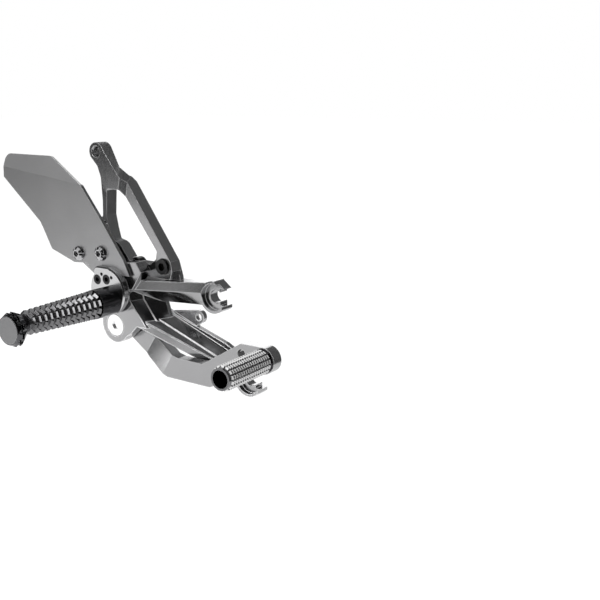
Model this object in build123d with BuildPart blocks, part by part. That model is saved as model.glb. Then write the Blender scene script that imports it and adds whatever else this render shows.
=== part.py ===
from build123d import *
import os
from math import cos, sin, radians

os.makedirs("parts", exist_ok=True)

# Axes: X forward, minus Y outboard, Z up, in millimetres. Each place is (X, Z), each level is a Y value.

# Frame mounts
UPPER_MOUNT = (0, 0)
LOWER_MOUNT = (28, -52)
MOUNT_R = 10.8
SEAT_R = 9.0
COLLAR_LENGTH = 4.0
WEB_THICK = 3.5
SEAT_DEPTH = 3.5
BOLT_HOLE_R = 4.6
SLOT_WIDTH = 11.0
SLOT_START = 3.5
MOUNT_FRONT = 7.6
JAW_CUT = [(1, 10.4), (7.4, 5.4), (12, 5.4), (12, 12), (1, 12)]
MOUNT_FACE = -(WEB_THICK + SEAT_DEPTH)
TURN = 360

# Levels of the hub stack
WALL_FACE = -29.5
GUARD_THICK = 2.5
DISC_THICK = 4.0
HUB_FACE = WALL_FACE - GUARD_THICK
DISC_FACE = HUB_FACE - DISC_THICK
LUG_THICK = 7.5
LUG_BACK = WALL_FACE + LUG_THICK
HUB_BACK = -15.0
SHIM_THICK = 0.5
FLAT_GAP = 0.3

# Adjuster disc and hub
DISC_CENTRE = (-67, 1)
DISC_R = 15.8
DISC_TOP_SIZE = (17, 20)
DISC_TOP_CENTRE = (-70.5, 7.3)
DISC_CORNER_R = 4.0
DISC_CHAMFER = 0.9
HUB_R = 14.0
GUARD_STEP_Z = 12.5
DISC_SCREWS = [(-75.5, 8.3), (-67, 9.2)]
INDEX_HOLES = [(-71.2, 12.4), (-62.2, 11.0)]
INDEX_HOLE_R = 1.2

# Foot peg
PEG_AXIS = (-63.2, -4.3)
PEG_END = -119.0
COLLAR_END = -52.0
GRIP_END = -107.0
PEG_R = 9.7
GRIP_CORE_R = 7.4
GRIP_TIP_R = 5.3
GRIP_ROWS = 10
GRIP_RINGS = 13
GRIP_ROW_WIDTH = 3.8
TOOTH_HEIGHT = 2.2
TOOTH_ROOT = 1.0
TOOTH_SHOULDER = (0.2, 0.75)
TOOTH_CREST = 0.36
TOOTH_FOOT = 0.72
PEG_FLARE_R = 10.8
PEG_END_R = 8.8
PEG_FLARE_DROP = 1.9
PEG_RIM = 4.0
PEG_LIP = 1.2
NOTCH_COUNT = 10
NOTCH_R = 1.8
FLARE_GROOVE_START = -115.3
FLARE_GROOVE_END = -116.4
FLARE_GROOVE_R = 8.6
CAP_R = 8.1
CAP_THICK = 2.0
PEG_BOLT_R = 4.0
PEG_BOLT_HEAD_R = 6.5
PEG_BOLT_HEAD = 5.0
PEG_BOLT_DEPTH = 16.0

# Screws
HEX_SIDES = 6
M6_R = 3.0
M6_HOLE_R = 3.3
M6_HEAD_R = 5.0
M6_HEAD = 6.0
M6_COUNTERBORE_R = 5.4
M6_SOCKET_R = 2.9
M6_SOCKET_DEPTH = 3.0
BUTTON_R = 5.25
BUTTON_HEAD = 3.3
BUTTON_TOP_R = 2.8
BUTTON_SHOULDER_R = 4.5
BUTTON_SHOULDER = 2.0
BUTTON_SOCKET_DEPTH = 2.2
BUTTON_SOCKET_R = 2.3
M5_R = 2.5
M5_HOLE_R = 2.7
M5_HEAD_R = 3.2
M5_HEAD = 2.6
M5_COUNTERBORE_R = 3.4
M5_SOCKET_R = 1.8
M5_SOCKET_DEPTH = 1.6

# Heel guard
GUARD_CREASE = [(-169.6, 79.0), (-91.2, 70.1)]
GUARD_FRONT = [(-75.2, 50.2), (-54.6, 22.8)]
GUARD_FOOT = [(-49.5, GUARD_STEP_Z), (-85.6, GUARD_STEP_Z)]
GUARD_REAR = [(-88, 17.5), (-101.3, 16.6), (-123.6, 23.8), (-131.6, 38.3), (-134.1, 42.2), (-170.1, 71.6)]
GUARD_FLAP_TOP = [(45.6, 14.6), (0.5, 9.6)]
GUARD_BEND = 14
GUARD_FLAP_R = 6.0
GUARD_CORNER_R = 2.5
GUARD_SCREWS = [(-95.9, 23.4), (-74.4, 25.6)]
GUARD_ARM_THICK = 6.0
GUARD_ARM_R = 6.0
GUARD_SCREW_DEPTH = 6.0

# Master cylinder bracket
BRACKET_FACE = -20.0
BRACKET_THICK = 9.0
BRACKET_BACK = BRACKET_FACE + BRACKET_THICK
BRACKET_JOG = 3.0
BRACKET_FOLD = 12.4
BRACKET_FOLD_REAR = -78.2
BRACKET_FOLD_FRONT = -73.4
BRACKET_REACH = 150.0
EYE_TOP = (-84, 91.8)
EYE_LOW = (-79.6, 42)
EYE_TOP_R = 6.2
EYE_LOW_R = 7.0
EYE_HOLE_R = 3.1
EYE_SINK = 0.8
BRACKET_NECK_FACE = [(-78.8, 95.2), (-64.9, 76.9), (-58.4, 71.3)]
BRACKET_NECK_BACK = [(-78.8, 95.2), (-74.0, 83.2), (-62.5, 77.0)]
BRACKET_FRONT = [(-24, 23.1), (-22.7, 16.7), (-25, 11)]
BRACKET_REAR = [(-68, 11), (-84.5, 37), (-80.4, 50), (-80, 60), (-80.7, 75), (-83.4, 82.5), (-89.4, 88.5)]
WINDOW_FRONT = [(-75.4, 67.8), (-64.8, 67.6), (-59.6, 60.8), (-35.4, 29), (-36.5, 23.5), (-41.6, 19.8)]
WINDOW_REAR = [(-60.6, 19.8), (-70, 32), (-73.2, 33.7), (-75.2, 41), (-77, 50)]
WINDOW_CORNER_R = 1.5
FRONT_SCREW = (-30.2, 19.4)
REAR_SCREW = (-60, 16.6)
SCREW_SINK = 4.0
FRONT_SCREW_LENGTH = 8.5
REAR_SCREW_LENGTH = 10.0
PAD_BACK = -7.5
BLOCK = [(-69, 3), (-50, 3), (-41.5, 15.6), (-46, 22), (-59, 20.2), (-69, 18.3)]
BRACKET_ROOM = [(-85, 10.7), (-40, 10.7), (-40, 30), (-85, 30)]

# Lever pivot
PIVOT = (-67.5, -23.8)
LUG_R = 12.0
PIVOT_HEAD_R = 7.5
PIVOT_HEAD = 2.5
PIVOT_SINK_R = 7.9
PIVOT_R = 4.0
PIVOT_CLEAR = 0.1
LEVER_HUB_R = 11.5
LEVER_HUB_WIDTH = 13.0
LEVER_GAP = 1.3
BEARING_R = 8.0
BEARING_WIDTH = 5.0
BEARING_LIP_R = 7.0
INNER_RING_R = 5.4
OUTER_RING_R = 5.5
SHIM_R = 5.2
NUT_FLAT = 13.0
NUT_THICK = 6.5
HUB_OUT = LUG_BACK + SHIM_THICK
HUB_IN = HUB_OUT + LEVER_HUB_WIDTH
NUT_SEAT = HUB_IN + SHIM_THICK
NUT_END = NUT_SEAT + NUT_THICK

# Brake lever
LEVER_THICK = 8.0
LEVER_REAR_FACE = -20.0
LEVER_TOE_FACE = -26.0
LEVER_FOLD = 33.0
FOLD_REAR = -17.5
FOLD_FRONT = 4.1
LEVER_REACH = 140.0
TOE_AXIS = (54, -28.8)
TOE_TIP_R = 8.5
LEVER_UNDER = [(-62, -33), (-46, -44), (-29, -52.2), (-24.6, -53.8), (11.6, -54), (50, -36.3)]
LEVER_OVER = [(53.7, -20.3), (37.3, -20.4), (5.7, -39.4), (-14.7, -39.2), (-19.8, -38), (-33, -32), (-47, -28)]
LEVER_ROOT = (-64, -22)
TOE_SPARE_HOLE = (37.7, -26.9)
TOE_SPARE_R = 3.0
ROD_EYE = (-91.5, -18)
ROD_EYE_R = 6.0
ROD_HOLE_R = 3.05
ROD_ARM_THICK = 6.0
ROD_ARM = [(-66, -14.5), (-90.5, -12.1), (-92.5, -23.9), (-66, -34)]

# Toe peg
TOE_LENGTH = 41.0
TOE_CORE_R = 6.7
TOE_BORE_R = 5.5
TOE_BASE = 5.0
TOE_ROWS = 14
TOE_RINGS = 18
TOE_TOOTH = 1.1
TOE_ROW_WIDTH = 2.2
TOE_MARGIN = 1.6
TOE_SCREW_LENGTH = 11.0

# Base plate arms as sections across X, points are (Y, Z)
UPPER_ROOT_X = -56
UPPER_ROOT = [(WALL_FACE, 9), (WALL_FACE, 2.8), (-14, -7), (-10, -7), (-10, 9)]
UPPER_TIP_X = -6
UPPER_TIP = [(MOUNT_FACE, 9.2), (MOUNT_FACE, 2), (-5, -6.5), (0, -6.5), (0, 9.2)]
LOWER_ROOT_X = -46
LOWER_ROOT = [(WALL_FACE, -22), (WALL_FACE, -16.2), (-29, -15.6), (-19, -14.7), (-19, -13.9)]
LOWER_ROOT_BACK = [(-6, -13), (-6, -12.5), (-2, -12.5), (-2, -22)]
LOWER_MID_X = 5
LOWER_MID = [(-14, -45), (-14, -39.8), (-13.5, -39.2), (-10, -39), (-10, -38.2)]
LOWER_MID_BACK = [(-1, -35.4), (-1, -31.8), (3, -31.8), (3, -45)]
LOWER_TIP_X = 22
LOWER_TIP = [(MOUNT_FACE, -56), (MOUNT_FACE, -46), (-6.5, -45.5), (-4.5, -45.4), (-4.5, -44.8)]
LOWER_TIP_BACK = [(-0.5, -43.2), (-0.5, -40.5), (3, -40.5), (3, -56)]
CROTCH_LEVELS = [3.0, 1.2, -5.0, -16.0, -22.0]
CROTCH_WALL = [-52.3, -53.6, -52.4, -43.2, -38.2]
CROTCH_LEDGE = [-49.6, -50.4, -49.4, -40.7, -36.0]
CROTCH_EDGE = [-41.0, -41.4, -40.0, -36.4, -33.4]
CROTCH_REAR = -62
CROTCH_REAR_Y = -10
LEDGE_Y = -20
LEDGE_WIDTH = 0.7
EDGE_Y = -9
EDGE_BACK_Y = -6
LUG_WEB = [(-79.3, -22), (-79.5, -6), (-54, -8), (-45.6, -16), (-46.7, -21.6), (-53.2, -27.9), (-58, -31)]
PAD = [(-38, 5), (-23.5, 5), (-24, 12), (-27, 22), (-36, 25)]
GUARD_ARM = [(-97.5, 17.6), (-95.5, 29.4), (-74, 31.6), (-66, 22), (-66, 6), (-78, 6)]
TAB = [(-50, -17.2), (-16.8, -12.2), (-13.2, -19.7), (-18.4, -23.1), (-27.8, -27.4), (-50, -21.3)]
TAB_EYE = (-16.3, -16.6)
TAB_R = 4.6
TAB_HOLE_R = 2.5
TAB_FACE = -2.5
TAB_THICK = 3.5


def level(y):
    return Plane(origin=(0, y, 0), x_dir=(1, 0, 0), z_dir=(0, -1, 0))


def across(x):
    return Plane(origin=(x, 0, 0), x_dir=(0, 1, 0), z_dir=(1, 0, 0))


def saw_teeth(length, count, height):
    pitch = length / count
    points = [(length, -TOOTH_ROOT), (0, -TOOTH_ROOT)]
    for tooth in range(count):
        points.append((pitch * tooth, 0))
        points.append((pitch * (tooth + TOOTH_SHOULDER[0]), height * TOOTH_SHOULDER[1]))
        points.append((pitch * (tooth + TOOTH_CREST), height))
        points.append((pitch * (tooth + TOOTH_FOOT), 0))
    return points + [(length, 0)]


# Plates of the arms, each a run of sections that swings inboard
with BuildPart() as arms:
    for stations in (
        [(UPPER_ROOT_X, UPPER_ROOT), (UPPER_TIP_X, UPPER_TIP)],
        [
            (LOWER_ROOT_X, LOWER_ROOT + LOWER_ROOT_BACK),
            (LOWER_MID_X, LOWER_MID + LOWER_MID_BACK),
            (LOWER_TIP_X, LOWER_TIP + LOWER_TIP_BACK),
        ],
    ):
        for x, section in stations:
            with BuildSketch(across(x)):
                Polygon(*section)
        loft(ruled=True)
    # Crotch between the arms: a wall and a ledge that lean forward on their way down
    for z, wall, ledge, edge in zip(CROTCH_LEVELS, CROTCH_WALL, CROTCH_LEDGE, CROTCH_EDGE):
        with BuildSketch(Plane.XY.offset(z)):
            Polygon(
                (CROTCH_REAR, WALL_FACE),
                (wall, WALL_FACE),
                (ledge, LEDGE_Y),
                (ledge + LEDGE_WIDTH, LEDGE_Y),
                (edge, EDGE_Y),
                (edge, EDGE_BACK_Y),
                (CROTCH_REAR, CROTCH_REAR_Y),
            )
    loft(ruled=True)

# Base plate with hub, pivot lug, guard arm, bracket seats and collar mounts
with BuildPart() as base_plate:
    add(arms.part)
    with BuildSketch(level(HUB_BACK)):
        with Locations(DISC_CENTRE):
            Circle(HUB_R)
    extrude(amount=HUB_BACK - HUB_FACE)
    with BuildSketch(level(LUG_BACK)):
        Polygon(*LUG_WEB)
        with Locations(PIVOT):
            Circle(LUG_R)
    extrude(amount=LUG_THICK)
    with BuildSketch(level(BRACKET_FACE)):
        Polygon(*BLOCK)
    extrude(amount=BRACKET_FACE - WALL_FACE)
    with BuildSketch(level(WALL_FACE + GUARD_ARM_THICK)):
        Polygon(*GUARD_ARM)
        with Locations(*GUARD_SCREWS):
            Circle(GUARD_ARM_R)
    extrude(amount=GUARD_ARM_THICK)
    with BuildSketch(level(PAD_BACK)):
        Polygon(*PAD)
    extrude(amount=PAD_BACK - BRACKET_BACK)
    with BuildSketch(level(TAB_FACE + TAB_THICK)):
        Polygon(*TAB)
        with Locations(TAB_EYE):
            Circle(TAB_R)
    extrude(amount=TAB_THICK)
    with BuildSketch(level(COLLAR_LENGTH)):
        with Locations(UPPER_MOUNT, LOWER_MOUNT):
            Circle(MOUNT_R)
    extrude(amount=COLLAR_LENGTH - MOUNT_FACE)
    # Bolt seats, bolt holes, forward slots and cut-off fronts of the mounts
    with BuildSketch(level(-WEB_THICK)):
        with Locations(UPPER_MOUNT, LOWER_MOUNT):
            Circle(SEAT_R)
    extrude(amount=MOUNT_R, mode=Mode.SUBTRACT)
    with BuildSketch(level(COLLAR_LENGTH)):
        with Locations(UPPER_MOUNT, LOWER_MOUNT):
            Circle(BOLT_HOLE_R)
            with Locations((SLOT_START, 0)):
                Rectangle(MOUNT_R, SLOT_WIDTH, align=(Align.MIN, Align.CENTER))
            with Locations((MOUNT_FRONT, 0)):
                Rectangle(MOUNT_R, MOUNT_R * 2, align=(Align.MIN, Align.CENTER))
            Polygon(*JAW_CUT, align=None)
    extrude(amount=COLLAR_LENGTH - HUB_FACE, mode=Mode.SUBTRACT)
    # Step that the guard stands on, and room for the bracket behind the block
    with BuildSketch(level(WALL_FACE)):
        with Locations((DISC_CENTRE[0], GUARD_STEP_Z)):
            Rectangle(DISC_R * 2, DISC_R, align=(Align.CENTER, Align.MIN))
    extrude(amount=GUARD_THICK + DISC_THICK, mode=Mode.SUBTRACT)
    with BuildSketch(level(BRACKET_BACK)):
        Polygon(*BRACKET_ROOM)
    extrude(amount=BRACKET_THICK, mode=Mode.SUBTRACT)
    # Room for the lever hub
    with BuildSketch(level(HUB_IN)):
        with Locations(PIVOT):
            Circle(LEVER_HUB_R + LEVER_GAP)
    extrude(amount=HUB_IN - LUG_BACK, mode=Mode.SUBTRACT)
    # Pivot bolt hole and its sunk seat
    with BuildSketch(level(LUG_BACK)):
        with Locations(PIVOT):
            Circle(PIVOT_R + PIVOT_CLEAR)
    extrude(amount=LUG_THICK, mode=Mode.SUBTRACT)
    with BuildSketch(level(WALL_FACE + PIVOT_HEAD)):
        with Locations(PIVOT):
            Circle(PIVOT_SINK_R)
    extrude(amount=PIVOT_HEAD, mode=Mode.SUBTRACT)
    # Threaded holes for guard, bracket and disc screws, and room for the peg bolt head
    with BuildSketch(level(WALL_FACE + GUARD_SCREW_DEPTH)):
        with Locations(*GUARD_SCREWS):
            Circle(M6_R)
    extrude(amount=GUARD_SCREW_DEPTH, mode=Mode.SUBTRACT)
    with BuildSketch(level(PAD_BACK)):
        with Locations(FRONT_SCREW):
            Circle(M6_R)
    extrude(amount=PAD_BACK - BRACKET_BACK, mode=Mode.SUBTRACT)
    with BuildSketch(level(BRACKET_FACE)):
        with Locations(REAR_SCREW):
            Circle(M6_R)
    extrude(amount=REAR_SCREW_LENGTH - BRACKET_THICK + SCREW_SINK, mode=Mode.SUBTRACT)
    with BuildSketch(level(HUB_FACE + GUARD_ARM_THICK)):
        with Locations(*DISC_SCREWS):
            Circle(M5_R)
    extrude(amount=GUARD_ARM_THICK, mode=Mode.SUBTRACT)
    with BuildSketch(level(HUB_FACE + PEG_BOLT_HEAD + FLAT_GAP)):
        with Locations(PEG_AXIS):
            Circle(PEG_BOLT_HEAD_R + FLAT_GAP)
    extrude(amount=PEG_BOLT_HEAD + FLAT_GAP, mode=Mode.SUBTRACT)
    with BuildSketch(level(TAB_FACE + TAB_THICK)):
        with Locations(TAB_EYE):
            Circle(TAB_HOLE_R)
    extrude(amount=TAB_THICK, mode=Mode.SUBTRACT)

# Adjuster disc
with BuildPart() as adjuster_disc:
    with BuildSketch(level(HUB_FACE)):
        with Locations(DISC_CENTRE):
            Circle(DISC_R)
        with Locations(DISC_TOP_CENTRE):
            RectangleRounded(*DISC_TOP_SIZE, DISC_CORNER_R)
    extrude(amount=DISC_THICK)
    chamfer(faces().sort_by(Axis.Y)[0].outer_wire().edges(), DISC_CHAMFER)
    with BuildSketch(level(HUB_FACE)):
        with Locations(PEG_AXIS):
            Circle(PEG_BOLT_R + PIVOT_CLEAR)
        with Locations(*DISC_SCREWS):
            Circle(M5_HOLE_R)
        with Locations(*INDEX_HOLES):
            Circle(INDEX_HOLE_R)
    extrude(amount=DISC_THICK, mode=Mode.SUBTRACT)
    with BuildSketch(level(DISC_FACE + M5_HEAD)):
        with Locations(*DISC_SCREWS):
            Circle(M5_COUNTERBORE_R)
    extrude(amount=M5_HEAD, mode=Mode.SUBTRACT)

# Disc screws
with BuildPart() as adjuster_screws:
    with BuildSketch(level(DISC_FACE + M5_HEAD)):
        with Locations(*DISC_SCREWS):
            Circle(M5_HEAD_R)
    extrude(amount=M5_HEAD)
    with BuildSketch(level(HUB_FACE + GUARD_ARM_THICK)):
        with Locations(*DISC_SCREWS):
            Circle(M5_R)
    extrude(amount=GUARD_ARM_THICK + DISC_THICK - M5_HEAD)
    with BuildSketch(level(DISC_FACE + M5_SOCKET_DEPTH)):
        with Locations(*DISC_SCREWS):
            RegularPolygon(M5_SOCKET_R, HEX_SIDES)
    extrude(amount=M5_SOCKET_DEPTH, mode=Mode.SUBTRACT)

# Foot peg: collar, toothed barrel and flared end
with BuildPart() as foot_peg:
    with BuildSketch(level(DISC_FACE)):
        with Locations(PEG_AXIS):
            Circle(PEG_R)
    extrude(amount=DISC_FACE - COLLAR_END)
    for y, r in ((COLLAR_END, GRIP_CORE_R), (GRIP_END, GRIP_TIP_R)):
        with BuildSketch(level(y)):
            with Locations(PEG_AXIS):
                RegularPolygon(r, GRIP_ROWS, major_radius=False)
    loft(ruled=True)
    for y, drop, r in (
        (GRIP_END, 0, GRIP_TIP_R),
        (PEG_END + PEG_RIM, PEG_FLARE_DROP, PEG_FLARE_R),
        (PEG_END, PEG_FLARE_DROP, PEG_END_R),
    ):
        with BuildSketch(level(y)):
            with Locations((PEG_AXIS[0], PEG_AXIS[1] - drop)):
                Circle(r)
    loft(ruled=True)
    # Rows of pointed teeth on the flats of the barrel, their sloping faces outboard
    for row in range(GRIP_ROWS):
        outward = Vector(1, 0, 0).rotate(Axis.Y, TURN / GRIP_ROWS * row + TURN / GRIP_ROWS / 2)
        start = Vector(PEG_AXIS[0], COLLAR_END, PEG_AXIS[1]) + outward * GRIP_CORE_R
        end = Vector(PEG_AXIS[0], GRIP_END, PEG_AXIS[1]) + outward * GRIP_TIP_R
        along = (end - start).normalized()
        with BuildSketch(Plane(origin=start, x_dir=along, z_dir=along.cross(outward))):
            Polygon(*saw_teeth((end - start).length, GRIP_RINGS, TOOTH_HEIGHT))
    extrude(amount=GRIP_ROW_WIDTH / 2, both=True)
    # Scallops around the flared end
    with BuildSketch(level(PEG_END + PEG_LIP)):
        with Locations((PEG_AXIS[0], PEG_AXIS[1] - PEG_FLARE_DROP)):
            with PolarLocations(PEG_FLARE_R, NOTCH_COUNT):
                Circle(NOTCH_R)
    extrude(amount=PEG_END + PEG_LIP - GRIP_END, mode=Mode.SUBTRACT)
    # Groove that parts the flared end into two rings of teeth
    with BuildSketch(level(FLARE_GROOVE_START)):
        with Locations((PEG_AXIS[0], PEG_AXIS[1] - PEG_FLARE_DROP)):
            Circle(PEG_FLARE_R + PEG_LIP)
            Circle(FLARE_GROOVE_R, mode=Mode.SUBTRACT)
    extrude(amount=FLARE_GROOVE_START - FLARE_GROOVE_END, mode=Mode.SUBTRACT)
    with BuildSketch(level(PEG_END + CAP_THICK)):
        with Locations((PEG_AXIS[0], PEG_AXIS[1] - PEG_FLARE_DROP)):
            Circle(CAP_R)
    extrude(amount=CAP_THICK, mode=Mode.SUBTRACT)
    with BuildSketch(level(DISC_FACE)):
        with Locations(PEG_AXIS):
            Circle(PEG_BOLT_R)
    extrude(amount=PEG_BOLT_DEPTH, mode=Mode.SUBTRACT)

# End cap of the foot peg
with BuildPart() as peg_end_cap:
    with BuildSketch(level(PEG_END + CAP_THICK)):
        with Locations((PEG_AXIS[0], PEG_AXIS[1] - PEG_FLARE_DROP)):
            Circle(CAP_R)
    extrude(amount=CAP_THICK)

# Bolt from behind the disc into the foot peg
with BuildPart() as peg_bolt:
    with BuildSketch(level(HUB_FACE + PEG_BOLT_HEAD)):
        with Locations(PEG_AXIS):
            Circle(PEG_BOLT_HEAD_R)
    extrude(amount=PEG_BOLT_HEAD)
    with BuildSketch(level(HUB_FACE)):
        with Locations(PEG_AXIS):
            Circle(PEG_BOLT_R)
    extrude(amount=DISC_THICK + PEG_BOLT_DEPTH)
    with BuildSketch(level(HUB_FACE + PEG_BOLT_HEAD)):
        with Locations(PEG_AXIS):
            RegularPolygon(M6_SOCKET_R, HEX_SIDES)
    extrude(amount=M6_SOCKET_DEPTH, mode=Mode.SUBTRACT)

# Heel guard: flat sheet and a top bent inboard along the crease
crease_start = Vector(GUARD_CREASE[0][0], HUB_FACE, GUARD_CREASE[0][1])
crease_end = Vector(GUARD_CREASE[1][0], HUB_FACE, GUARD_CREASE[1][1])
crease = (crease_end - crease_start).normalized()
flap_normal = Vector(0, -1, 0).rotate(Axis((0, 0, 0), crease), -GUARD_BEND)
with BuildPart() as heel_guard:
    with BuildSketch(level(WALL_FACE)):
        Polygon(*GUARD_CREASE, *GUARD_FRONT, *GUARD_FOOT, *GUARD_REAR)
        fillet(vertices().sort_by(Axis.Y)[2:-2], GUARD_CORNER_R)
    extrude(amount=GUARD_THICK)
    crease_length = (crease_end - crease_start).length
    with BuildSketch(Plane(origin=crease_start, x_dir=crease, z_dir=flap_normal)):
        Polygon((0, 0), (crease_length, 0), *GUARD_FLAP_TOP)
        fillet(vertices().sort_by(Axis.Y)[2:], GUARD_FLAP_R)
    extrude(amount=-GUARD_THICK)
    with BuildSketch(level(WALL_FACE)):
        with Locations(*GUARD_SCREWS):
            Circle(M6_HOLE_R)
    extrude(amount=GUARD_THICK, mode=Mode.SUBTRACT)

# Guard screws with domed heads
with BuildPart() as heel_guard_screws:
    with BuildSketch(level(WALL_FACE + GUARD_SCREW_DEPTH)):
        with Locations(*GUARD_SCREWS):
            Circle(M6_R)
    extrude(amount=GUARD_SCREW_DEPTH + GUARD_THICK)
    for place in GUARD_SCREWS:
        for height, r in ((0, BUTTON_R), (BUTTON_SHOULDER, BUTTON_SHOULDER_R), (BUTTON_HEAD, BUTTON_TOP_R)):
            with BuildSketch(level(HUB_FACE - height)):
                with Locations(place):
                    Circle(r)
        loft(ruled=True)
    with BuildSketch(level(HUB_FACE - BUTTON_HEAD + BUTTON_SOCKET_DEPTH)):
        with Locations(*GUARD_SCREWS):
            RegularPolygon(BUTTON_SOCKET_R, HEX_SIDES)
    extrude(amount=BUTTON_HEAD, mode=Mode.SUBTRACT)

# Master cylinder bracket: outline cut by a ribbon that steps outboard towards the eyes
bracket_along = Vector(cos(radians(BRACKET_FOLD)), 0, -sin(radians(BRACKET_FOLD)))
bracket_up = Vector(sin(radians(BRACKET_FOLD)), 0, cos(radians(BRACKET_FOLD)))
with BuildPart() as cylinder_bracket:
    necks = {BRACKET_BACK: BRACKET_NECK_BACK, BRACKET_FACE - BRACKET_JOG: BRACKET_NECK_FACE}
    for y, neck in necks.items():
        with BuildSketch(level(y)):
            Polygon(*neck, *BRACKET_FRONT, *BRACKET_REAR)
    loft(ruled=True)
    for place, r in ((EYE_TOP, EYE_TOP_R), (EYE_LOW, EYE_LOW_R)):
        with BuildSketch(level(BRACKET_BACK)):
            with Locations(place):
                Circle(r)
        extrude(amount=BRACKET_THICK + BRACKET_JOG)
    with BuildSketch(Plane(origin=(0, 0, 0), x_dir=bracket_along, z_dir=bracket_up)):
        Polygon(
            (-BRACKET_REACH, BRACKET_FACE - BRACKET_JOG),
            (BRACKET_FOLD_REAR, BRACKET_FACE - BRACKET_JOG),
            (BRACKET_FOLD_FRONT, BRACKET_FACE),
            (BRACKET_REACH, BRACKET_FACE),
            (BRACKET_REACH, BRACKET_BACK),
            (BRACKET_FOLD_FRONT, BRACKET_BACK),
            (BRACKET_FOLD_REAR, BRACKET_BACK - BRACKET_JOG),
            (-BRACKET_REACH, BRACKET_BACK - BRACKET_JOG),
        )
    extrude(amount=BRACKET_REACH, both=True, mode=Mode.INTERSECT)
    # Window, eye holes with a countersink, and screw holes with their seats
    with BuildSketch(level(BRACKET_BACK)):
        Polygon(*WINDOW_FRONT, *WINDOW_REAR)
        fillet(vertices(), WINDOW_CORNER_R)
    extrude(amount=BRACKET_THICK + BRACKET_JOG, mode=Mode.SUBTRACT)
    with BuildSketch(level(BRACKET_BACK)):
        with Locations(EYE_TOP, EYE_LOW):
            Circle(EYE_HOLE_R)
        with Locations(FRONT_SCREW, REAR_SCREW):
            Circle(M6_HOLE_R)
    extrude(amount=BRACKET_THICK + BRACKET_JOG, mode=Mode.SUBTRACT)
    for place in (EYE_TOP, EYE_LOW):
        for sink in (EYE_SINK, 0):
            with BuildSketch(level(BRACKET_FACE - BRACKET_JOG + sink)):
                with Locations(place):
                    Circle(EYE_HOLE_R + EYE_SINK - sink)
        loft(mode=Mode.SUBTRACT)
    with BuildSketch(level(BRACKET_FACE + SCREW_SINK)):
        with Locations(FRONT_SCREW):
            Circle(M6_COUNTERBORE_R)
    extrude(amount=SCREW_SINK, mode=Mode.SUBTRACT)
    with BuildSketch(level(BRACKET_BACK)):
        with Locations(REAR_SCREW):
            Circle(M6_COUNTERBORE_R)
    extrude(amount=SCREW_SINK, mode=Mode.SUBTRACT)

# Bracket screws, the front one from outboard and the rear one from inboard
with BuildPart() as bracket_screws:
    for place, seat, way, length in (
        (FRONT_SCREW, BRACKET_FACE + SCREW_SINK, 1, FRONT_SCREW_LENGTH),
        (REAR_SCREW, BRACKET_BACK - SCREW_SINK, -1, REAR_SCREW_LENGTH),
    ):
        with BuildSketch(level(seat)):
            with Locations(place):
                Circle(M6_HEAD_R)
        extrude(amount=way * M6_HEAD)
        with BuildSketch(level(seat)):
            with Locations(place):
                Circle(M6_R)
        extrude(amount=-way * length)
        with BuildSketch(level(seat - way * M6_HEAD)):
            with Locations(place):
                RegularPolygon(M6_SOCKET_R, HEX_SIDES)
        extrude(amount=-way * M6_SOCKET_DEPTH, mode=Mode.SUBTRACT)

# Pivot bolt with a wide flat head
with BuildPart() as pivot_bolt:
    with BuildSketch(level(WALL_FACE + PIVOT_HEAD)):
        with Locations(PIVOT):
            Circle(PIVOT_HEAD_R)
    extrude(amount=PIVOT_HEAD)
    with BuildSketch(level(NUT_END)):
        with Locations(PIVOT):
            Circle(PIVOT_R)
    extrude(amount=NUT_END - WALL_FACE - PIVOT_HEAD)
    with BuildSketch(level(WALL_FACE + PIVOT_HEAD / 2)):
        with Locations(PIVOT):
            RegularPolygon(M6_SOCKET_R, HEX_SIDES)
    extrude(amount=PIVOT_HEAD / 2, mode=Mode.SUBTRACT)

# Shims on both sides of the lever hub
with BuildPart() as pivot_shims:
    for y in (HUB_OUT, NUT_SEAT):
        with BuildSketch(level(y)):
            with Locations(PIVOT):
                Circle(SHIM_R)
                Circle(PIVOT_R, mode=Mode.SUBTRACT)
        extrude(amount=SHIM_THICK)

# Pivot nut
with BuildPart() as pivot_nut:
    with BuildSketch(level(NUT_END)):
        with Locations(PIVOT):
            RegularPolygon(NUT_FLAT / 2, HEX_SIDES, major_radius=False)
            Circle(PIVOT_R, mode=Mode.SUBTRACT)
    extrude(amount=NUT_THICK)

# Bearing rings and the spacer between them
with BuildPart() as bearing_inner_rings:
    for y in (HUB_OUT + BEARING_WIDTH, HUB_IN):
        with BuildSketch(level(y)):
            with Locations(PIVOT):
                Circle(INNER_RING_R)
                Circle(PIVOT_R, mode=Mode.SUBTRACT)
        extrude(amount=BEARING_WIDTH)
with BuildPart() as bearing_spacer:
    with BuildSketch(level(HUB_IN - BEARING_WIDTH)):
        with Locations(PIVOT):
            Circle(SHIM_R)
            Circle(PIVOT_R, mode=Mode.SUBTRACT)
    extrude(amount=LEVER_HUB_WIDTH - 2 * BEARING_WIDTH)
with BuildPart() as bearing_outer_rings:
    for y in (HUB_OUT + BEARING_WIDTH, HUB_IN):
        with BuildSketch(level(y)):
            with Locations(PIVOT):
                Circle(BEARING_R)
                Circle(OUTER_RING_R, mode=Mode.SUBTRACT)
        extrude(amount=BEARING_WIDTH)

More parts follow.
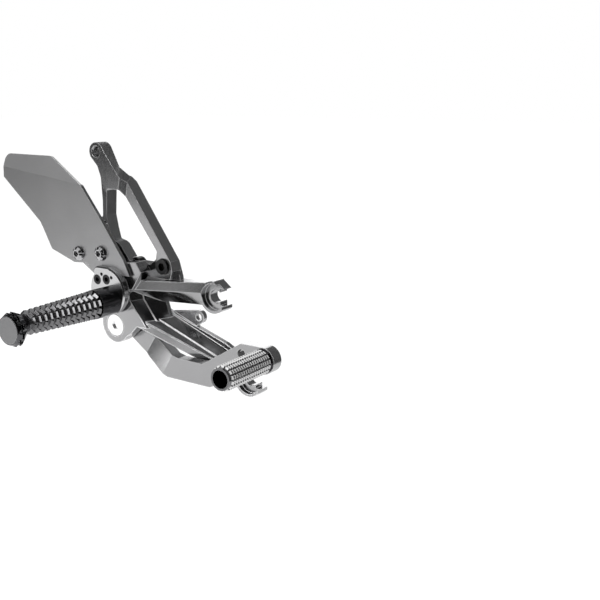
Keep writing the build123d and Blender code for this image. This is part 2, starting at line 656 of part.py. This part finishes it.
# Brake lever: side outline cut by a ribbon that steps outboard towards the toe
fold_along = Vector(cos(radians(LEVER_FOLD)), 0, -sin(radians(LEVER_FOLD)))
fold_up = Vector(sin(radians(LEVER_FOLD)), 0, cos(radians(LEVER_FOLD)))
with BuildPart() as brake_lever:
    with BuildSketch(level(HUB_IN)):
        Polygon(*LEVER_UNDER, TOE_AXIS, *LEVER_OVER, LEVER_ROOT)
        with Locations(TOE_AXIS):
            Circle(TOE_TIP_R)
    extrude(amount=HUB_IN - WALL_FACE)
    with BuildSketch(Plane(origin=(0, 0, 0), x_dir=fold_along, z_dir=fold_up)):
        Polygon(
            (-LEVER_REACH, LEVER_REAR_FACE),
            (FOLD_REAR, LEVER_REAR_FACE),
            (FOLD_FRONT, LEVER_TOE_FACE),
            (LEVER_REACH, LEVER_TOE_FACE),
            (LEVER_REACH, LEVER_TOE_FACE + LEVER_THICK),
            (FOLD_FRONT, LEVER_TOE_FACE + LEVER_THICK),
            (FOLD_REAR, LEVER_REAR_FACE + LEVER_THICK),
            (-LEVER_REACH, LEVER_REAR_FACE + LEVER_THICK),
        )
    extrude(amount=LEVER_REACH, both=True, mode=Mode.INTERSECT)
    with BuildSketch(level(HUB_IN)):
        with Locations(PIVOT):
            Circle(LEVER_HUB_R)
    extrude(amount=LEVER_HUB_WIDTH)
    with BuildSketch(level(HUB_IN)):
        Polygon(*ROD_ARM)
        with Locations(ROD_EYE):
            Circle(ROD_EYE_R)
    extrude(amount=ROD_ARM_THICK)
    # Bearing seats with a lip between them, eye and toe holes
    with BuildSketch(level(HUB_IN)):
        with Locations(PIVOT):
            Circle(BEARING_LIP_R)
    extrude(amount=LEVER_HUB_WIDTH, mode=Mode.SUBTRACT)
    for y in (HUB_OUT + BEARING_WIDTH, HUB_IN):
        with BuildSketch(level(y)):
            with Locations(PIVOT):
                Circle(BEARING_R)
        extrude(amount=BEARING_WIDTH, mode=Mode.SUBTRACT)
    with BuildSketch(level(HUB_IN)):
        with Locations(ROD_EYE):
            Circle(ROD_HOLE_R)
    extrude(amount=ROD_ARM_THICK, mode=Mode.SUBTRACT)
    with BuildSketch(level(LEVER_TOE_FACE + LEVER_THICK)):
        with Locations(TOE_AXIS):
            Circle(M6_R)
        with Locations(TOE_SPARE_HOLE):
            Circle(TOE_SPARE_R)
    extrude(amount=LEVER_THICK, mode=Mode.SUBTRACT)

# Toe peg: toothed tube with a base that the screw sits on
with BuildPart() as toe_peg:
    with BuildSketch(level(LEVER_TOE_FACE)):
        with Locations(TOE_AXIS):
            RegularPolygon(TOE_CORE_R, TOE_ROWS, major_radius=False)
    extrude(amount=TOE_LENGTH)
    for row in range(TOE_ROWS):
        outward = Vector(1, 0, 0).rotate(Axis.Y, TURN / TOE_ROWS * row + TURN / TOE_ROWS / 2)
        start = Vector(TOE_AXIS[0], LEVER_TOE_FACE - TOE_MARGIN, TOE_AXIS[1]) + outward * TOE_CORE_R
        with BuildSketch(Plane(origin=start, x_dir=(0, -1, 0), z_dir=Vector(0, -1, 0).cross(outward))):
            Polygon(*saw_teeth(TOE_LENGTH - 2 * TOE_MARGIN, TOE_RINGS, TOE_TOOTH))
    extrude(amount=TOE_ROW_WIDTH / 2, both=True)
    with BuildSketch(level(LEVER_TOE_FACE - TOE_BASE)):
        with Locations(TOE_AXIS):
            Circle(TOE_BORE_R)
    extrude(amount=TOE_LENGTH - TOE_BASE, mode=Mode.SUBTRACT)
    with BuildSketch(level(LEVER_TOE_FACE)):
        with Locations(TOE_AXIS):
            Circle(M6_HOLE_R)
    extrude(amount=TOE_BASE, mode=Mode.SUBTRACT)

# Screw inside the toe peg
with BuildPart() as toe_peg_screw:
    with BuildSketch(level(LEVER_TOE_FACE - TOE_BASE)):
        with Locations(TOE_AXIS):
            Circle(M6_HEAD_R)
    extrude(amount=M6_HEAD)
    with BuildSketch(level(LEVER_TOE_FACE - TOE_BASE + TOE_SCREW_LENGTH)):
        with Locations(TOE_AXIS):
            Circle(M6_R)
    extrude(amount=TOE_SCREW_LENGTH)
    with BuildSketch(level(LEVER_TOE_FACE - TOE_BASE - M6_HEAD + M6_SOCKET_DEPTH)):
        with Locations(TOE_AXIS):
            RegularPolygon(M6_SOCKET_R, HEX_SIDES)
    extrude(amount=M6_SOCKET_DEPTH, mode=Mode.SUBTRACT)

base_plate.part.label = "base_plate"
adjuster_disc.part.label = "adjuster_disc"
adjuster_screws.part.label = "adjuster_screws"
foot_peg.part.label = "foot_peg"
peg_end_cap.part.label = "peg_end_cap"
peg_bolt.part.label = "peg_bolt"
heel_guard.part.label = "heel_guard"
heel_guard_screws.part.label = "heel_guard_screws"
cylinder_bracket.part.label = "cylinder_bracket"
bracket_screws.part.label = "bracket_screws"
pivot_bolt.part.label = "pivot_bolt"
pivot_shims.part.label = "pivot_shims"
pivot_nut.part.label = "pivot_nut"
bearing_inner_rings.part.label = "bearing_inner_rings"
bearing_spacer.part.label = "bearing_spacer"
bearing_outer_rings.part.label = "bearing_outer_rings"
brake_lever.part.label = "brake_lever"
toe_peg.part.label = "toe_peg"
toe_peg_screw.part.label = "toe_peg_screw"

for piece in (
    base_plate,
    adjuster_disc,
    adjuster_screws,
    foot_peg,
    peg_end_cap,
    peg_bolt,
    heel_guard,
    heel_guard_screws,
    cylinder_bracket,
    bracket_screws,
    pivot_bolt,
    pivot_shims,
    pivot_nut,
    bearing_inner_rings,
    bearing_spacer,
    bearing_outer_rings,
    brake_lever,
    toe_peg,
    toe_peg_screw,
):
    export_step(piece.part, "parts/" + piece.part.label + ".step")
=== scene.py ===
from math import cos, radians, sin

import bpy
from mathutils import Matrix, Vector


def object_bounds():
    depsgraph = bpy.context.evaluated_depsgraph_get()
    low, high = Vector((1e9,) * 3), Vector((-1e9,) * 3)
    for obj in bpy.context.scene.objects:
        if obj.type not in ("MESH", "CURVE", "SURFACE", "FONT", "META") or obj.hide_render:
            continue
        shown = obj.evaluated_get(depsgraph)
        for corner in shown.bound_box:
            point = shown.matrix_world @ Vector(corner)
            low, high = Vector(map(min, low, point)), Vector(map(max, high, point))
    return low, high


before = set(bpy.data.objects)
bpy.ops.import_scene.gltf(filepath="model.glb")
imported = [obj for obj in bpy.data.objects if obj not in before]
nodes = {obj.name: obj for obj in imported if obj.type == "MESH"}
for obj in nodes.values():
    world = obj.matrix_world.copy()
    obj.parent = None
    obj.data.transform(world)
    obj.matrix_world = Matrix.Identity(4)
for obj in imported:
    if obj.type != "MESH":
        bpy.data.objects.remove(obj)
cad_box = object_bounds()

# Base plate: the swept arm that bolts to the motorbike frame by two open collars.
# It is milled from one aluminium billet and hard anodised to a dark, glossy grey, so flat
# faces carry faint cutter lines, and its edges carry painted highlight lines, strongest low on the
# lower arm.


def add(tree, kind, **settings):
    made = tree.nodes.new("ShaderNode" + kind)
    for key, value in settings.items():
        setattr(made, key, value)
    return made


def work_out(tree, operation, a, b=None, c=None, clamp=False):
    made = add(tree, "Math", operation=operation, use_clamp=clamp)
    for socket, value in zip(made.inputs, (a, b, c)):
        if value is None:
            continue
        if isinstance(value, (int, float)):
            socket.default_value = value
        else:
            tree.links.new(value, socket)
    return made.outputs[0]


def shared_effect(name, inputs, outputs):
    tree = bpy.data.node_groups.new(name, "ShaderNodeTree")
    for label, kind, value in inputs:
        socket = tree.interface.new_socket(label, in_out="INPUT", socket_type=kind)
        socket.default_value = value
    for label, kind in outputs:
        tree.interface.new_socket(label, in_out="OUTPUT", socket_type=kind)
    return tree, tree.nodes.new("NodeGroupInput"), tree.nodes.new("NodeGroupOutput")


# Painted edge highlights: light lines painted where the rounded normal leaves the flat one,
# broken up by noise, and fainter above a given height.
edge_gain = 20.0
patch_scale = 240
patch_detail = 3
patch_least = 0.45
upper_highlight_share = 0.4
highlight_fade = 100.0
painted_highlights, given, result = shared_effect(
    "painted_highlights",
    [
        ("Radius", "NodeSocketFloat", 0.0006),
        ("Amount", "NodeSocketFloat", 0.5),
        ("Cuts", "NodeSocketFloat", 0.0),
        ("Highlight Height", "NodeSocketFloat", 1.0),
    ],
    [("Mask", "NodeSocketFloat"), ("Normal", "NodeSocketVector")],
)
tree = painted_highlights
round_edge = add(tree, "Bevel", samples=6)
tree.links.new(given.outputs["Radius"], round_edge.inputs["Radius"])
flat = add(tree, "NewGeometry")
lean = add(tree, "VectorMath", operation="DOT_PRODUCT")
tree.links.new(round_edge.outputs["Normal"], lean.inputs[0])
tree.links.new(flat.outputs["Normal"], lean.inputs[1])
turned = work_out(tree, "SUBTRACT", 1.0, lean.outputs["Value"])
turned = work_out(tree, "MULTIPLY", turned, edge_gain, clamp=True)
place = add(tree, "TexCoord")
patches = add(tree, "TexNoise")
patches.inputs["Scale"].default_value = patch_scale
patches.inputs["Detail"].default_value = patch_detail
tree.links.new(place.outputs["Object"], patches.inputs["Vector"])
patchy = work_out(tree, "ADD", patches.outputs["Fac"], patch_least, clamp=True)
broken = work_out(tree, "MULTIPLY", turned, patchy)
broken = work_out(tree, "MULTIPLY", broken, given.outputs["Amount"])
spot = add(tree, "SeparateXYZ")
tree.links.new(place.outputs["Object"], spot.inputs[0])
below = work_out(tree, "SUBTRACT", given.outputs["Highlight Height"], spot.outputs["Z"])
below = work_out(tree, "MULTIPLY_ADD", below, highlight_fade, upper_highlight_share)
below = work_out(tree, "MINIMUM", work_out(tree, "MAXIMUM", below, upper_highlight_share), 1.0)
broken = work_out(tree, "MULTIPLY", broken, below)

# Painted glints: tooth faces that slope outboard get painted highlights too, kept to their crests
# by ambient occlusion, so the hollows stay dark.
outboard = (0, -1, 0)
slope_least, slope_most, slope_gain = 0.6, 0.93, 8.0
crest_reach, crest_least, crest_gain = 0.0015, 0.62, 5.0
looks_out = add(tree, "VectorMath", operation="DOT_PRODUCT")
looks_out.inputs[1].default_value = outboard
tree.links.new(flat.outputs["True Normal"], looks_out.inputs[0])
facing = work_out(tree, "SUBTRACT", looks_out.outputs["Value"], slope_least)
facing = work_out(tree, "MULTIPLY", facing, slope_gain, clamp=True)
sloping = work_out(tree, "LESS_THAN", looks_out.outputs["Value"], slope_most)
facing = work_out(tree, "MULTIPLY", facing, sloping)
open_air = add(tree, "AmbientOcclusion", samples=6, only_local=True)
open_air.inputs["Distance"].default_value = crest_reach
crest = work_out(tree, "SUBTRACT", open_air.outputs["AO"], crest_least)
crest = work_out(tree, "MULTIPLY", crest, crest_gain, clamp=True)
facing = work_out(tree, "MULTIPLY", facing, crest)
facing = work_out(tree, "MULTIPLY", facing, given.outputs["Cuts"])
tree.links.new(work_out(tree, "MAXIMUM", broken, facing), result.inputs["Mask"])
tree.links.new(round_edge.outputs["Normal"], result.inputs["Normal"])

# Cutter lines: long fine streaks along one direction, and broad soft cloudiness.
line_detail = 2
cloud_scale = 38
cloud_detail = 4
cutter_lines, given, result = shared_effect(
    "cutter_lines",
    [("Stretch", "NodeSocketVector", (1, 1, 1)), ("Scale", "NodeSocketFloat", 900.0)],
    [("Lines", "NodeSocketFloat"), ("Clouds", "NodeSocketFloat")],
)
tree = cutter_lines
place = add(tree, "TexCoord")
pull = add(tree, "VectorMath", operation="MULTIPLY")
tree.links.new(place.outputs["Object"], pull.inputs[0])
tree.links.new(given.outputs["Stretch"], pull.inputs[1])
streaks = add(tree, "TexNoise")
streaks.inputs["Detail"].default_value = line_detail
tree.links.new(pull.outputs["Vector"], streaks.inputs["Vector"])
tree.links.new(given.outputs["Scale"], streaks.inputs["Scale"])
clouds = add(tree, "TexNoise")
clouds.inputs["Scale"].default_value = cloud_scale
clouds.inputs["Detail"].default_value = cloud_detail
tree.links.new(place.outputs["Object"], clouds.inputs["Vector"])
tree.links.new(streaks.outputs["Fac"], result.inputs["Lines"])
tree.links.new(clouds.outputs["Fac"], result.inputs["Clouds"])

cloud_spread = 0.08
gloss_spread = 0.25
line_depth = 0.0002


def metal_finish(
    name, dark, light, rough, lines, edge, edge_highlight, bump, stretch=(1, 1, 1), tooth_glints=0.0, highlight_height=1.0
):
    material = bpy.data.materials.new(name)
    material.use_nodes = True
    tree = material.node_tree
    shader = tree.nodes["Principled BSDF"]
    marks = add(tree, "Group", node_tree=cutter_lines)
    marks.inputs["Stretch"].default_value = stretch
    marks.inputs["Scale"].default_value = lines
    edges = add(tree, "Group", node_tree=painted_highlights)
    edges.inputs["Radius"].default_value = edge
    edges.inputs["Amount"].default_value = edge_highlight
    edges.inputs["Cuts"].default_value = tooth_glints
    edges.inputs["Highlight Height"].default_value = highlight_height
    tone = add(tree, "Mix", data_type="RGBA")
    tone.inputs["A"].default_value = (*[c * (1 - cloud_spread) for c in dark], 1)
    tone.inputs["B"].default_value = (*[min(c * (1 + cloud_spread), 1) for c in dark], 1)
    tree.links.new(marks.outputs["Clouds"], tone.inputs["Factor"])
    # Painted highlights: the mask mixes in the light colour and takes away the metallic, so edge
    # lines and tooth glints show bright under diffuse light.
    highlight_mix = add(tree, "Mix", data_type="RGBA")
    highlight_mix.inputs["B"].default_value = (*light, 1)
    tree.links.new(edges.outputs["Mask"], highlight_mix.inputs["Factor"])
    tree.links.new(tone.outputs["Result"], highlight_mix.inputs["A"])
    tree.links.new(highlight_mix.outputs["Result"], shader.inputs["Base Color"])
    metallic_outside_highlights = work_out(tree, "SUBTRACT", 1.0, edges.outputs["Mask"])
    tree.links.new(metallic_outside_highlights, shader.inputs["Metallic"])
    gloss = add(tree, "MapRange")
    gloss.inputs["To Min"].default_value = rough * (1 - gloss_spread)
    gloss.inputs["To Max"].default_value = rough * (1 + gloss_spread)
    tree.links.new(marks.outputs["Lines"], gloss.inputs["Value"])
    tree.links.new(gloss.outputs["Result"], shader.inputs["Roughness"])
    relief = add(tree, "Bump")
    relief.inputs["Strength"].default_value = bump
    relief.inputs["Distance"].default_value = line_depth
    tree.links.new(marks.outputs["Lines"], relief.inputs["Height"])
    tree.links.new(edges.outputs["Normal"], relief.inputs["Normal"])
    tree.links.new(relief.outputs["Normal"], shader.inputs["Normal"])
    return material


def wear_finish(name, material):
    mesh = nodes[name].data
    mesh.materials.clear()
    mesh.materials.append(material)


dark_anodised = metal_finish(
    "dark_anodised",
    dark=(0.37, 0.37, 0.375),
    light=(0.92, 0.92, 0.93),
    rough=0.20,
    lines=1400,
    stretch=(0.15, 1, 1),
    edge=0.0009,
    edge_highlight=1.0,
    bump=0.06,
    highlight_height=-0.012,
)
wear_finish("base_plate", dark_anodised)

# Adjuster disc: the small plate between the hub and the foot peg, which sets the peg's place.
# It is turned and milled aluminium, anodised light grey, with a polished chamfer,
# and two screws clamp it to the hub.
grey_anodised = metal_finish(
    "grey_anodised",
    dark=(0.56, 0.56, 0.565),
    light=(0.9, 0.9, 0.9),
    rough=0.2,
    lines=700,
    edge=0.00012,
    edge_highlight=0.5,
    bump=0.05,
)
wear_finish("adjuster_disc", grey_anodised)

# Adjuster screws: the two socket screws that hold the disc to the hub.
# They are blackened steel, sunk into counterbores in the disc's face.
black_screw = metal_finish(
    "black_screw",
    dark=(0.04, 0.04, 0.041),
    light=(0.25, 0.25, 0.25),
    rough=0.25,
    lines=1200,
    edge=0.0002,
    edge_highlight=0.3,
    bump=0.05,
)
wear_finish("adjuster_screws", black_screw)

# Foot peg: the barrel that carries the rider's boot, bolted to the disc from behind.
# It is turned aluminium with rows of milled, pointed teeth, anodised black and glossy,
# and the outboard slopes of the teeth carry faint painted glints near their crests.
black_grip = metal_finish(
    "black_grip",
    dark=(0.10, 0.10, 0.105),
    light=(0.8, 0.8, 0.8),
    rough=0.18,
    lines=900,
    edge=0.0001,
    edge_highlight=0.4,
    bump=0.04,
    tooth_glints=0.12,
)
wear_finish("foot_peg", black_grip)

# End cap and bolt of the foot peg: the disc that closes the flared end, and the bolt inside.
# The cap is satin aluminium pressed into the rim, and the bolt is blackened steel.
cap_satin = metal_finish(
    "cap_satin",
    dark=(0.25, 0.25, 0.255),
    light=(0.7, 0.7, 0.7),
    rough=0.38,
    lines=800,
    edge=0.0003,
    edge_highlight=0.5,
    bump=0.06,
)
wear_finish("peg_end_cap", cap_satin)
wear_finish("peg_bolt", black_screw)

# Heel guard: the plate that keeps the rider's heel clear of the moving parts behind it.
# It is cut from aluminium sheet with its top edge bent inboard, brushed lengthwise
# and anodised satin grey.
satin_sheet = metal_finish(
    "satin_sheet",
    dark=(0.46, 0.46, 0.465),
    light=(0.65, 0.65, 0.65),
    rough=0.42,
    lines=1600,
    stretch=(0.06, 1, 1),
    edge=0.0004,
    edge_highlight=0.5,
    bump=0.05,
)
wear_finish("heel_guard", satin_sheet)

# Guard screws: the two button head screws that hold the guard to the base plate.
# They are steel, domed, with a hexagon socket and a dark chrome finish.
dark_chrome = metal_finish(
    "dark_chrome",
    dark=(0.42, 0.42, 0.43),
    light=(0.9, 0.9, 0.9),
    rough=0.10,
    lines=900,
    edge=0.0003,
    edge_highlight=0.6,
    bump=0.03,
)
wear_finish("heel_guard_screws", dark_chrome)

# Master cylinder bracket: the frame with two eyes and a window that carries the cylinder.
# It is milled from aluminium plate and anodised like the base plate, but with weaker painted
# edge highlights, and two blackened socket screws hold it on.
bracket_anodised = metal_finish(
    "bracket_anodised",
    dark=(0.37, 0.37, 0.375),
    light=(0.85, 0.85, 0.86),
    rough=0.20,
    lines=1400,
    stretch=(1, 1, 0.15),
    edge=0.0006,
    edge_highlight=0.4,
    bump=0.06,
)
wear_finish("cylinder_bracket", bracket_anodised)
wear_finish("bracket_screws", black_screw)

# Lever pivot: the bolt that the brake lever swings on, with its nut, shims and bearings.
# All are steel, turned and ground, and the bolt's broad head is polished.
polished_steel = metal_finish(
    "polished_steel",
    dark=(0.94, 0.94, 0.95),
    light=(0.97, 0.97, 0.97),
    rough=0.12,
    lines=700,
    edge=0.0004,
    edge_highlight=0.6,
    bump=0.03,
)
wear_finish("pivot_bolt", polished_steel)
wear_finish("pivot_nut", polished_steel)
wear_finish("pivot_shims", polished_steel)
wear_finish("bearing_inner_rings", polished_steel)
wear_finish("bearing_spacer", polished_steel)
wear_finish("bearing_outer_rings", polished_steel)

# Brake lever: the pedal arm, which steps outboard on its way to the toe end.
# It is milled from one aluminium bar and anodised grey, and its hub holds the bearings.
lever_grey = metal_finish(
    "lever_grey",
    dark=(0.36, 0.36, 0.365),
    light=(0.85, 0.85, 0.85),
    rough=0.22,
    lines=1300,
    stretch=(0.2, 1, 1),
    edge=0.0006,
    edge_highlight=0.6,
    bump=0.06,
)
wear_finish("brake_lever", lever_grey)

# Toe peg: the short tube that the rider's toe presses, and the screw inside that fixes it.
# The tube is turned aluminium with small milled teeth whose outboard slopes carry painted
# glints near their crests, and the screw is blackened steel, driven into the lever.
grip_metal = metal_finish(
    "grip_metal",
    dark=(0.16, 0.16, 0.165),
    light=(0.9, 0.9, 0.9),
    rough=0.16,
    lines=900,
    edge=0.0001,
    edge_highlight=0.4,
    bump=0.04,
    tooth_glints=0.65,
)
wear_finish("toe_peg", grip_metal)
wear_finish("toe_peg_screw", black_screw)

# Floor: a wide sheet of plain pale studio paper, laid a little below the part.
# It shows white to the camera and in the metal, and it keeps the part's soft shadow.
floor_half = 6
floor_drop = 0.03
floor_tone = (0.9, 0.9, 0.9, 1)
floor_glow = 1.1
glow_share = 0.8
low = cad_box[0][2]
mesh = bpy.data.meshes.new("floor")
corners = [(-1, -1), (1, -1), (1, 1), (-1, 1)]
mesh.from_pydata(
    [(x * floor_half, y * floor_half, low - floor_drop) for x, y in corners], [], [(0, 1, 2, 3)]
)
floor = bpy.data.objects.new("floor", mesh)
bpy.context.scene.collection.objects.link(floor)
pale = bpy.data.materials.new("pale_floor")
pale.use_nodes = True
tree = pale.node_tree
shader = tree.nodes["Principled BSDF"]
shader.inputs["Base Color"].default_value = floor_tone
shader.inputs["Roughness"].default_value = 0.9
shader.inputs["Specular IOR Level"].default_value = 0.0
glow = add(tree, "Emission")
glow.inputs["Strength"].default_value = floor_glow


def seen_or_mirrored(tree):
    path = add(tree, "LightPath")
    seen = work_out(tree, "MAXIMUM", path.outputs["Is Camera Ray"], path.outputs["Is Glossy Ray"])
    return work_out(tree, "MAXIMUM", seen, path.outputs["Is Transmission Ray"])


blend = add(tree, "MixShader")
tree.links.new(work_out(tree, "MULTIPLY", seen_or_mirrored(tree), glow_share), blend.inputs["Fac"])
tree.links.new(shader.outputs["BSDF"], blend.inputs[1])
tree.links.new(glow.outputs["Emission"], blend.inputs[2])
tree.links.new(blend.outputs["Shader"], tree.nodes["Material Output"].inputs["Surface"])
mesh.materials.append(pale)

# Studio surround: white walls that light the part evenly from all round.
# They show pure white to the camera and in the metal.
surround_light = (0.75, 0.75, 0.75, 1)
surround_seen = (1, 1, 1, 1)
world = bpy.data.worlds.new("studio")
bpy.context.scene.world = world
world.use_nodes = True
tree = world.node_tree
back = add(tree, "Mix", data_type="RGBA")
back.inputs["A"].default_value = surround_light
back.inputs["B"].default_value = surround_seen
tree.links.new(seen_or_mirrored(tree), back.inputs["Factor"])
tree.links.new(back.outputs["Result"], tree.nodes["Background"].inputs["Color"])

# Soft boxes: a key ahead of the part, one above, a rim light behind, and two small boxes
# and a card by the floor whose mirror images are the glints on the teeth and the lever's bend.
# Each is a plain cloth-fronted lamp on a stand, turned towards the middle of the part.
lamp_target = Vector((-0.04, -0.03, 0.02))


def soft_box(name, place, wide, high, power, mirrored):
    lamp = bpy.data.lights.new(name, "AREA")
    lamp.shape = "RECTANGLE"
    lamp.size = wide
    lamp.size_y = high
    lamp.energy = power
    box = bpy.data.objects.new(name, lamp)
    bpy.context.scene.collection.objects.link(box)
    box.location = place
    box.rotation_euler = (lamp_target - Vector(place)).to_track_quat("-Z", "Y").to_euler()
    box.visible_camera = False
    box.visible_glossy = mirrored


soft_box("key_box", (-0.24, -1.23, 0.46), 0.85, 0.5, 8.0, mirrored=False)
soft_box("glint_box", (-0.181, -1.170, 0.61), 0.26, 0.26, 1.7, mirrored=True)
soft_box("low_box", (0.23, -1.19, 0.10), 0.30, 0.12, 0.5, mirrored=True)
soft_box("rim_box", (-0.46, 0.78, 0.28), 0.4, 0.55, 0.85, mirrored=True)
soft_box("bounce_card", (-0.211, -0.118, -0.071), 0.020, 0.022, 0.0044, mirrored=True)
soft_box("top_box", (-0.25, -0.45, 0.95), 0.45, 0.45, 6.0, mirrored=False)

# Flags: dark and half-tone cloths that stand and lie around the part, as in a metalware studio.
# They show only as mirror images, and give the polished faces their dark bands.
# Each runs round the part between two bearings in degrees, through rings of (reach, height).
flag_centre = (-0.04, -0.02)
flag_steps = 24


def flag(name, tone, first, last, rings):
    cloth = bpy.data.materials.new(name)
    cloth.use_nodes = True
    shader = cloth.node_tree.nodes["Principled BSDF"]
    shader.inputs["Base Color"].default_value = (tone, tone, tone, 1)
    shader.inputs["Roughness"].default_value = 1.0
    shader.inputs["Specular IOR Level"].default_value = 0.0
    spots, faces = [], []
    count = len(rings)
    for step in range(flag_steps + 1):
        turn = radians(first + (last - first) * step / flag_steps)
        for reach, height in rings:
            x = flag_centre[0] + reach * cos(turn)
            y = flag_centre[1] + reach * sin(turn)
            spots.append((x, y, height))
        if step:
            k = step * count
            faces += [
                (k - count + r, k + r, k + r + 1, k - count + r + 1) for r in range(count - 1)
            ]
    mesh = bpy.data.meshes.new(name)
    mesh.from_pydata(spots, [], faces)
    mesh.materials.append(cloth)
    card = bpy.data.objects.new(name, mesh)
    bpy.context.scene.collection.objects.link(card)
    card.visible_camera = False
    card.visible_shadow = False
    card.visible_diffuse = False


on_floor = low - floor_drop + 0.001
apron = ((0.22, on_floor), (0.52, on_floor))
kerb = ((0.55, 0.02),)
hood = ((0.56, 0.75), (0.15, 1.1))
roof = ((0.5, 0.9), (0.15, 1.1))
flag("flag_turn", 0.12, 261, 273, apron + kerb)
flag("flag_side", 0.36, 273, 282, apron + kerb)
flag("flag_low", 0.015, 282, 292, apron + kerb)
flag("flag_camera", 0.015, 292, 385, apron + hood)
flag("flag_right", 0.12, 25, 106, apron + hood)
flag("flag_gap", 0.12, 106, 131, ((0.55, 0.47),) + hood)
flag("flag_back", 0.10, 131, 178, apron + hood)
flag("flag_left", 0.05, 178, 215, ((0.55, 0.2),) + hood)
flag("flag_over", 0.03, 215, 270, ((0.56, 0.58),) + roof)
flag("flag_band", 0.03, 244, 270, ((0.56, 0.03), (0.56, 0.30)))
flag("flag_front", 0.03, 270, 292, ((0.56, 0.10),) + roof)
flag("flag_heel", 0.03, 180, 206, apron + kerb)
flag("flag_horizon", 0.08, 178, 258, ((1.3, on_floor), (1.3, 0.3)))

# Camera: it stands ahead of the part, outboard and a little above, with a long lens.
# Its place, tilt and lens give the viewing angle and the frame of the photograph.
camera_place = (0.3473, -0.4237, 0.1304)
camera_dip = 13.75
camera_turn = 33.763
lens = bpy.data.cameras.new("camera")
lens.lens = 51.0
lens.sensor_width = 36.0
lens.clip_start = 0.01
camera = bpy.data.objects.new("camera", lens)
bpy.context.scene.collection.objects.link(camera)
camera.location = camera_place
camera.rotation_euler = (radians(90 - camera_dip), 0, radians(camera_turn))
bpy.context.scene.camera = camera
bpy.context.scene.view_settings.view_transform = "Standard"
